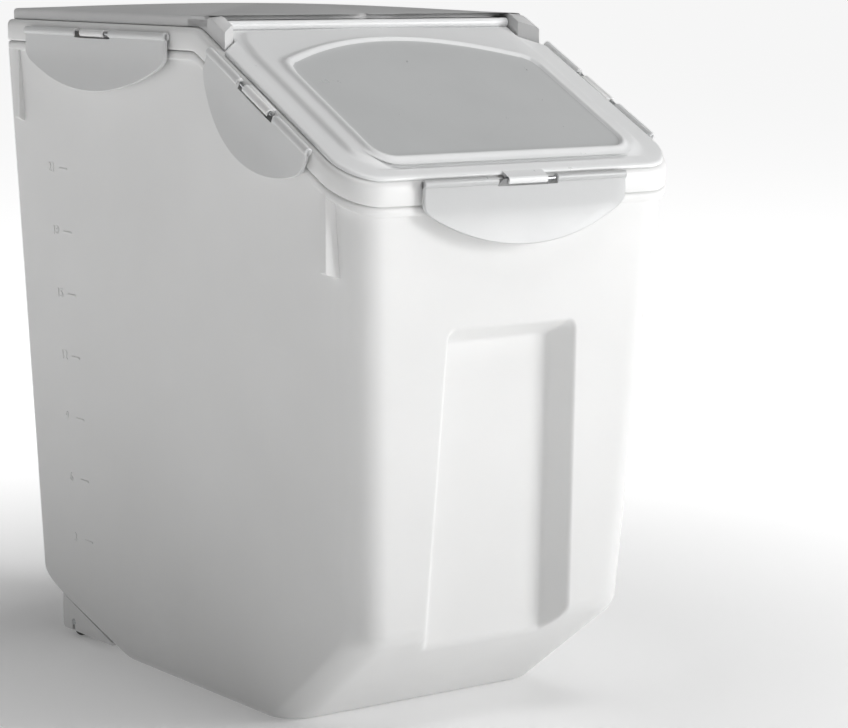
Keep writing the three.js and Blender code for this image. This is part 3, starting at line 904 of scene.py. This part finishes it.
def flip_outline(corners, bow):
    """A closed outline through filleted corners, always with as many points; bow lifts the last edge."""
    points = []
    n = len(corners)
    places = [Vector(corner[:2]) for corner in corners]
    for i, here in enumerate(places):
        r = corners[i][2]
        before = places[i - 1]
        after = places[(i + 1) % n]
        beyond = places[(i + 2) % n]
        a = (before - here).normalized()
        b = (after - here).normalized()
        half_angle = a.angle(b) / 2
        reach = fillet_reach(before, here, after, r)
        centre = here + (a + b).normalized() * (r / math.sin(half_angle))
        start = here + a * reach - centre
        end = here + b * reach - centre
        sweep = math.pi - 2 * half_angle
        turn = math.copysign(1, start.cross(end))
        for k in range(FILLET_STEPS + 1):
            angle = turn * sweep * k / FILLET_STEPS
            c = math.cos(angle)
            s = math.sin(angle)
            points.append(centre + Vector((start.x * c - start.y * s, start.x * s + start.y * c)))
        next_reach = fillet_reach(here, after, beyond, corners[(i + 1) % n][2])
        line_start = here + b * reach
        line_end = after + (here - after).normalized() * next_reach
        for k in range(1, FLIP_COUNTS[i]):
            t = k / FLIP_COUNTS[i]
            p = line_start.lerp(line_end, t)
            if i == n - 1:
                p.y += bow * 4 * t * (1 - t)
            points.append(p)
    return points


def both_sides(corners):
    """The left half's corners, then the same on the right in the opposite order."""
    return corners + [(-x, y, r) for x, y, r in reversed(corners)]


def flange_corners(inset):
    """The flip lid's outer edge: cut corners beside the wings, round corners in front."""
    half = FLANGE_HALF - inset
    hinge_half = HINGE_HALF - inset
    return both_sides([
        (-hinge_half, LID_PLATE_BACK - inset * 0.3, 0.6),
        (-hinge_half, CUT_INNER - 0.4 * inset, 0.8),
        (-half, CUT_OUTER - 0.7 * inset, 3.0),
        (-half, FLANGE_FRONT + inset, 23.0 - inset * 0.8),
    ])


def step_corners(inset):
    """The raised field inside the flange."""
    half = STEP_HALF - inset
    back_y = LID_PLATE_BACK - 4.0 - inset
    return both_sides([
        (-half + 7, back_y, 4.0),
        (-half + 2.5, back_y - 9, 5.0),
        (-half, back_y - 24, 6.0),
        (-half, STEP_FRONT + inset, 17.0),
    ])


def window_corners(inset):
    """The window panel: straight sides and foot, with a bowed top."""
    half = WINDOW_HALF - inset
    top = WINDOW_TOP - inset
    return both_sides([
        (-half + 6, top + 2.6, 3.0),
        (-half + 1.6, top - 1.6, 3.0),
        (-half, top - 9, 3.0),
        (-half, WINDOW_FRONT + inset, max(11.0 - inset, 2.0)),
    ])


def flip_ring(corners, rise, bow):
    return [Vector((p.x, p.y, slope_z(p.y) + rise)) for p in flip_outline(corners, bow)]


# Insets of an outline with heights above the flange, from the edge inwards.
FLANGE_TOP = ((0.5, 0.0), (0.1, 0.3), (0.0, 0.9), (0.15, 1.7), (0.7, 2.2), (1.6, 2.4), (8.0, 2.5))
STEP_TOP = ((-1.6, 2.6), (-0.2, 2.9), (1.0, 3.7), (2.2, 4.7), (3.6, 5.1))
WINDOW_RIM = (
    (-6.5, 5.3), (-4.6, 5.6), (-3.6, 6.4), (-2.8, 7.1), (-1.9, 7.3), (-1.0, 7.1), (-0.3, 6.4),
    (0.4, 5.9), (1.4, 5.7), (4.0, 5.7),
)
# The same underneath, from the middle outwards.
WINDOW_UNDER = ((4.0, 3.5), (0.6, 3.6), (-2.0, 3.2), (-6.0, 3.0))
STEP_UNDER = ((3.6, 2.6), (2.2, 1.2), (1.6, 0.3), (0.8, 0.0))
WINDOW_MIDDLE = 26.0
MIDDLE_BOW = 12


def flip_lid():
    """The clear lid: rings from the middle of its top, round the edge, to the middle underneath."""
    bm = bmesh.new()
    top = [(flange_corners, inset, rise, 0) for inset, rise in FLANGE_TOP]
    top += [(step_corners, inset, rise, 2) for inset, rise in STEP_TOP]
    top.append((step_corners, 5.4, 5.2, 3))
    top += [(window_corners, inset, rise, WINDOW_BOW) for inset, rise in WINDOW_RIM]
    top.append((window_corners, 12.0, 5.7, WINDOW_BOW * 0.8))
    top.append((window_corners, WINDOW_MIDDLE, 5.7, MIDDLE_BOW))
    under = [(window_corners, WINDOW_MIDDLE, 3.5, MIDDLE_BOW)]
    under += [(window_corners, inset, rise, WINDOW_BOW) for inset, rise in WINDOW_UNDER]
    under.append((step_corners, 6.0, 3.0, 3))
    under += [(step_corners, inset, rise, 2) for inset, rise in STEP_UNDER]
    across = list(reversed(top)) + list(reversed(under))
    rings = [flip_ring(make(inset), FLANGE + rise, bow) for make, inset, rise, bow in across]
    loft(bm, rings)
    # The window panel's faces, both middle caps included, take the second material: the window copy, with
    # painted shade in its darker base colour.
    for index, face in enumerate(bm.faces):
        band = index // len(rings[0])
        cap = band >= len(across) - 1
        if cap or (across[band][0] is window_corners and across[band][1] > 1.0):
            face.material_index = 1
    tube(bm, (-HINGE_HALF, PIVOT_Y, PIVOT_Z), (HINGE_HALF, PIVOT_Y, PIVOT_Z), 3.0, 32, bore=1.8)
    lug_barrel(bm, front_station())
    neck(bm)
    lid = make_object("flip_lid_shell", bm, clear, 40.0)
    lid.data.materials.append(window_painted_shade)
    return lid


def neck(bm):
    """The tongue from the flip lid's front edge to the front latch's pin."""
    rings = []
    for y in (LID_FRONT - 4.6, LID_FRONT - 2.4, LID_FRONT - 0.5, -197.0):
        base = slope_z(y) + FLANGE
        rings.append(plate_section(-LUG_HALF, LUG_HALF, y, base + 0.1, base + 2.3))
    loft(bm, rings)


def flip_seal():
    bm = bmesh.new()
    profile = [
        (0.0, 0.4), (0.6, 0.0), (4.2, 0.0), (4.8, 0.4), (4.6, 1.6), (4.2, 2.4), (0.8, 2.4), (0.2, 1.6),
    ]
    rings = []
    for inset, rise in profile:
        points = rounded_outline(99.0 - inset, -185.0 + inset, -73.0 - inset, 20.0 - inset, PLAIN_FRONT)
        rings.append([Vector((x, y, slope_z(y) + FLANGE + rise)) for x, y in points])
    loft(bm, rings, closed_profile=True)
    return make_object("flip_seal_ring", bm, silicone, 50.0)


# ---------------------------------------------------------------- latches

def latch(name, spec, m, material):
    """A latch: rolled top edge, flat face, and a bowed lower edge that sweeps outward."""
    half = spec["half"]
    foot = -(spec["pin"] + spec["below"])
    drop = spec["below"] - spec["end"]
    radius = (half * half + drop * drop) / (2 * drop)
    lip_foot = -(spec["pin"] + LIP_HEIGHT)
    bm = bmesh.new()

    def edge(a):
        """Lower edge at a place along the latch, with rounded ends."""
        bow = foot + radius - math.sqrt(max(0.0, radius * radius - a * a))
        near_end = max(0.0, abs(a) - (half - 6.0)) / 6.0
        return bow + 5.0 * (1 - math.sqrt(max(0.0, 1 - near_end * near_end)))

    def sweep(n):
        """How far the plate leans outward at height n."""
        t = max(0.0, (lip_foot + 3.0 - n) / (lip_foot + 3.0 - foot))
        return LATCH_FLARE * t * t * (1.6 - 0.6 * t)

    places = [-half, -half + 0.35, -half + 1.0]
    places += [lerp(-half + 2.0, half - 2.0, k / 46) for k in range(47)]
    places += [half - 1.0, half - 0.35, half]
    rings = []
    for a in places:
        tip = half - abs(a)
        thin = 0.45 if tip < 0.1 else (0.8 if tip < 0.5 else 1.0)
        low = edge(a)
        outer = []
        inner = []
        for k in range(LATCH_STEPS + 1):
            n = lerp(1.4, low + 0.5, k / LATCH_STEPS)
            lean = sweep(n)
            outer.append((n, lean + LATCH_THICK * thin))
            catch = LATCH_CATCH * math.exp(-(n - (lip_foot - 2.0)) ** 2) if abs(a) < half - 4 else 0.0
            inner.append((n, lean - LATCH_THICK * thin - catch))
        lean = sweep(low)
        blunt = LATCH_THICK * 0.7 * thin
        tipped = [(low + 0.12, lean + blunt), (low, lean + 0.1), (low + 0.12, lean - blunt)]
        section = outer + tipped + list(reversed(inner))
        rings.append([m @ Vector((a, n, o)) for n, o in section])
    loft(bm, rings)
    for side in (-1, 1):
        x0, x1 = sorted((side * (LATCH_WINDOW + 0.2), side * half))
        tube(bm, m @ Vector((x0, 0, 0)), m @ Vector((x1, 0, 0)), LATCH_BARREL, chamfer=0.5)
    cut_window(bm, m)
    return make_object(name, bm, material, 38.0)


def cut_window(bm, m):
    """Opens the plate around the lug."""
    inverse = m.inverted()
    doomed = []
    for face in bm.faces:
        c = inverse @ face.calc_center_median()
        if abs(c.x) < LATCH_WINDOW - 0.4 and c.y > -3.3 and abs(c.z) < 2.0:
            doomed.append(face)
    bmesh.ops.delete(bm, geom=doomed, context="FACES")
    edges = [e for e in bm.edges if e.is_boundary]
    bmesh.ops.holes_fill(bm, edges=edges, sides=0)


# ---------------------------------------------------------------- wheels

def wheel(name, side):
    """A wheel: a hub ring, a sunk web and a rounded tread, alike on both faces."""
    bm = bmesh.new()
    half = WHEEL_WIDTH / 2
    face = [
        (2.3, -half), (3.8, -half), (4.1, -half + 0.3), (4.1, -half + 1.0), (7.0, -half + 1.0),
        (7.2, -half + 0.2), (7.5, -half), (WHEEL_RADIUS - 1.0, -half),
        (WHEEL_RADIUS - 0.3, -half + 0.3), (WHEEL_RADIUS, -half + 1.1),
    ]
    angles = [2 * math.pi * i / WHEEL_SEGMENTS for i in range(WHEEL_SEGMENTS)]
    rings = []
    for r, x in face + [(r, -x) for r, x in reversed(face)]:
        rings.append([
            Vector((side * WHEEL_X + x, WHEEL_Y + r * math.cos(a), WHEEL_Z + r * math.sin(a)))
            for a in angles
        ])
    loft(bm, rings, closed_profile=True)
    return make_object(name, bm, wheel_black, 30.0)


# ---------------------------------------------------------------- assembly

def stand_for(piece, body, slot, *nodes):
    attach(piece, body)
    if nodes:
        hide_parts(*nodes)


def assemble():
    stand_for(bin_body(), "bin", "white_plastic", "bin_body")
    stand_for(gussets(), "bin", "white_plastic")
    stand_for(wheel_cheeks(), "bin", "white_plastic")
    for piece in level_marks():
        stand_for(piece, "bin", "white_plastic")
    stand_for(lid_frame(), "main_lid", "lid_white", "lid_frame")
    stand_for(lid_seal(), "main_lid", "silicone", "lid_seal")
    stand_for(rear_cover(), "main_lid", "cover_white", "rear_cover")
    stand_for(flip_lid(), "flip_lid", "clear_plastic", "flip_lid")
    stand_for(flip_seal(), "flip_lid", "silicone", "flip_seal")
    stand_for(latch("front_latch_plate", FRONT_LATCH, front_station(), clear_latch),
              "front_latch", "clear_plastic", "latch_front")
    for name, side in (("left", -1), ("right", 1)):
        stand_for(latch(f"rear_latch_plate_{name}", REAR_LATCH, rear_station(side), latch_white),
                  f"rear_latch_{name}", "latch_plastic", f"latch_rear_{name}")
        stand_for(latch(f"slope_latch_plate_{name}", SLOPE_LATCH, slope_station(side), latch_white),
                  f"slope_latch_{name}", "latch_plastic", f"latch_slope_{name}")
        stand_for(wheel(f"wheel_disc_{name}", side), f"wheel_{name}", "wheel_black", f"wheel_{name}")
    for name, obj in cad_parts.items():
        if "pin" in name or "axle" in name:
            obj.data.materials.clear()
            obj.data.materials.append(steel)
            obj.data.shade_smooth()
            obj.data.set_sharp_from_angle(angle=math.radians(40))


# ---------------------------------------------------------------- stage, light and camera

STUDIO_HALF = 60000.0
# Painted glow of the floor: emission strength rises from 0.14 within 0.25 m of the bin to 0.85 beyond 0.9
# m.
FLOOR_GLOW_START = 0.25
FLOOR_GLOW_END = 0.9
FLOOR_GLOW = (0.14, 0.85)


def floor():
    """A pale floor with a painted glow, which also lights the bin from below: its emission is weak near
    the bin and strong and even away from it.
    """
    bm = bmesh.new()
    size = STUDIO_HALF
    corners = [(-size, -size), (size, -size), (size, size), (-size, size)]
    bm.faces.new([bm.verts.new((x, y, 0.0)) for x, y in corners])
    material, nodes, links, shader = new_material("floor_pale")
    cloud = add_noise(nodes, links, 2.0, 2.0)
    tint(nodes, links, cloud.outputs["Fac"], (0.88, 0.88, 0.88), (0.9, 0.9, 0.9), shader)
    shader.inputs["Roughness"].default_value = 0.9
    coordinates = nodes.new("ShaderNodeTexCoord")
    distance = nodes.new("ShaderNodeVectorMath")
    distance.operation = "LENGTH"
    links.new(coordinates.outputs["Object"], distance.inputs[0])
    # Painted glow: emission that grows with distance from the bin.
    glow = ramp(nodes, links, distance.outputs["Value"], *FLOOR_GLOW, FLOOR_GLOW_START, FLOOR_GLOW_END)
    shader.inputs["Emission Color"].default_value = (1, 1, 1, 1)
    links.new(glow.outputs["Result"], shader.inputs["Emission Strength"])
    obj = make_object("studio_floor", bm, material)


def area_light(name, place, target, size, power):
    data = bpy.data.lights.new(name, "AREA")
    data.shape = "RECTANGLE"
    data.size, data.size_y = size
    data.energy = power
    obj = bpy.data.objects.new(name, data)
    obj.location = place
    direction = Vector(target) - Vector(place)
    obj.rotation_euler = direction.to_track_quat("-Z", "Y").to_euler()
    bpy.context.scene.collection.objects.link(obj)


WORLD_STRENGTH = 0.08


def lights():
    world = bpy.data.worlds.new("studio_world")
    bpy.context.scene.world = world
    world.use_nodes = True
    world.node_tree.nodes["Background"].inputs["Color"].default_value = (1, 1, 1, 1)
    world.node_tree.nodes["Background"].inputs["Strength"].default_value = WORLD_STRENGTH
    area_light("key_front_right", (1.9, -1.95, 0.8), (0, 0, 0.2), (1.0, 1.0), 41)
    area_light("fill_back_left", (-2.2, 1.9, 1.1), (0, 0, 0.2), (1.2, 1.2), 6)
    area_light("top_soft", (0.3, -0.6, 2.4), (0, 0, 0.3), (1.6, 1.6), 22)


CAMERA_PLACE = (-0.9435, -1.3906, 0.4462)
CAMERA_AZIMUTH = math.radians(36.33)
CAMERA_PITCH = math.radians(8.56)
CAMERA_ROLL = math.radians(0.315)
CAMERA_LENS = 115.3


def camera():
    data = bpy.data.cameras.new("photo_camera")
    data.lens = CAMERA_LENS
    data.sensor_width = 36.0
    data.clip_end = 50.0
    data.shift_x = -0.0026
    data.shift_y = 0.0007
    obj = bpy.data.objects.new("photo_camera", data)
    forward = Vector((
        math.sin(CAMERA_AZIMUTH) * math.cos(CAMERA_PITCH),
        math.cos(CAMERA_AZIMUTH) * math.cos(CAMERA_PITCH),
        -math.sin(CAMERA_PITCH),
    ))
    aim = forward.to_track_quat("-Z", "Y").to_matrix().to_4x4()
    turn = aim @ Matrix.Rotation(CAMERA_ROLL, 4, "Z")
    obj.matrix_world = Matrix.Translation(CAMERA_PLACE) @ turn
    bpy.context.scene.collection.objects.link(obj)
    bpy.context.scene.camera = obj


camera()
assemble()
floor()
lights()
bpy.context.scene.view_settings.view_transform = "Standard"
